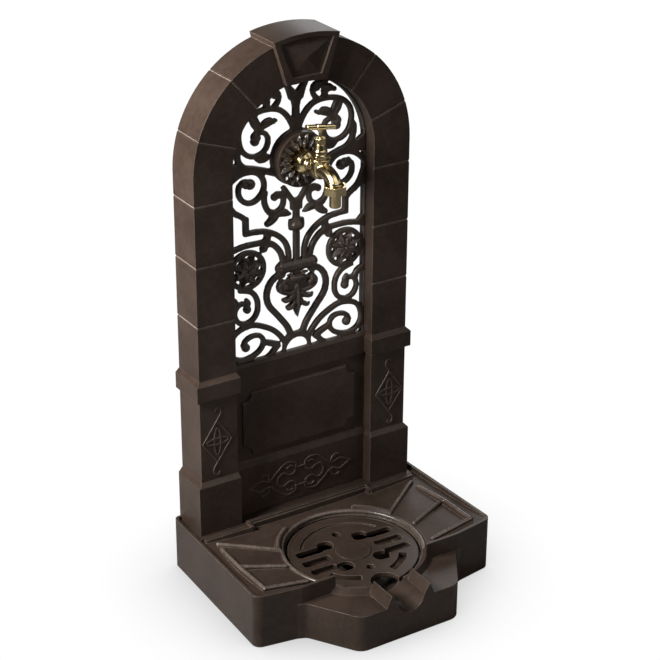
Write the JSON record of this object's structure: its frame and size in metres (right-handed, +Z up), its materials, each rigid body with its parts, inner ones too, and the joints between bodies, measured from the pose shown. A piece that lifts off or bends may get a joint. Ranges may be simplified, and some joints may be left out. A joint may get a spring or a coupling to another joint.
{
  "type": "garden fountain",
  "caption": "Free-standing arched garden fountain with an openwork scroll grille, a brass tap on a rosette and a basin with a lift-out drain grate and spout lip.",
  "frame": {"origin": "bottom centre of the bounding box, on the floor under the base", "axes": "+Z up, +Y from the front (basin spout) to the back, +X to the right seen from the front"},
  "size_m": [0.3714, 0.3138, 0.7433],
  "materials": {
    "bronze": "satin dark brown with worn edges",
    "grate": "satin dark brown, slightly lighter from wear",
    "brass": "polished to satin",
    "rubber": "matte",
    "steel": "zinc plated"
  },
  "bodies": {
    "frame": {"arch_surround": "bronze", "lower_panel": "bronze", "scroll_grille": "bronze", "rosette": "bronze", "base_shell": "bronze", "tap_body": "brass", "tap_back_nut": "brass", "bonnet": "brass", "gland_nut": "brass", "spout_nut": "brass", "hose_tail": "brass", "drain_outlet": "brass", "drain_nut": "brass", "tap_flange_seal": "rubber", "bonnet_seal": "rubber", "gland_packing": "rubber", "hose_tail_washer": "rubber", "drain_seal": "rubber", "panel_screws": "steel", "grille_screws": "steel", "upright_bolts": "steel", "upright_washers": "steel", "upright_nuts": "steel", "tap_back_washer": "steel"},
    "valve": {"jumper_valve": "brass", "jumper_washer": "rubber"},
    "handle": {"spindle": "brass", "tee_handle": "brass"},
    "grate": {"drain_grate": "grate"}
  },
  "joints": [
    {"name": "valve_lift", "type": "slide", "parent": "frame", "child": "valve", "axis": [0, 0, 1], "range_m": [0, 0.005]},
    {"name": "handle_turn", "type": "hinge", "parent": "valve", "child": "handle", "pos_m": [0, 0.0657, 0.63], "axis": [0, 0, 1], "range_deg": [0, 720]},
    {"name": "grate_lift", "type": "slide", "parent": "frame", "child": "grate", "axis": [0, 0, 1], "range_m": [0, 0.12]}
  ],
  "couplings": [
    {"joint": "valve_lift", "follows": "handle_turn", "m_per_rad": 0.00039789}
  ]
}
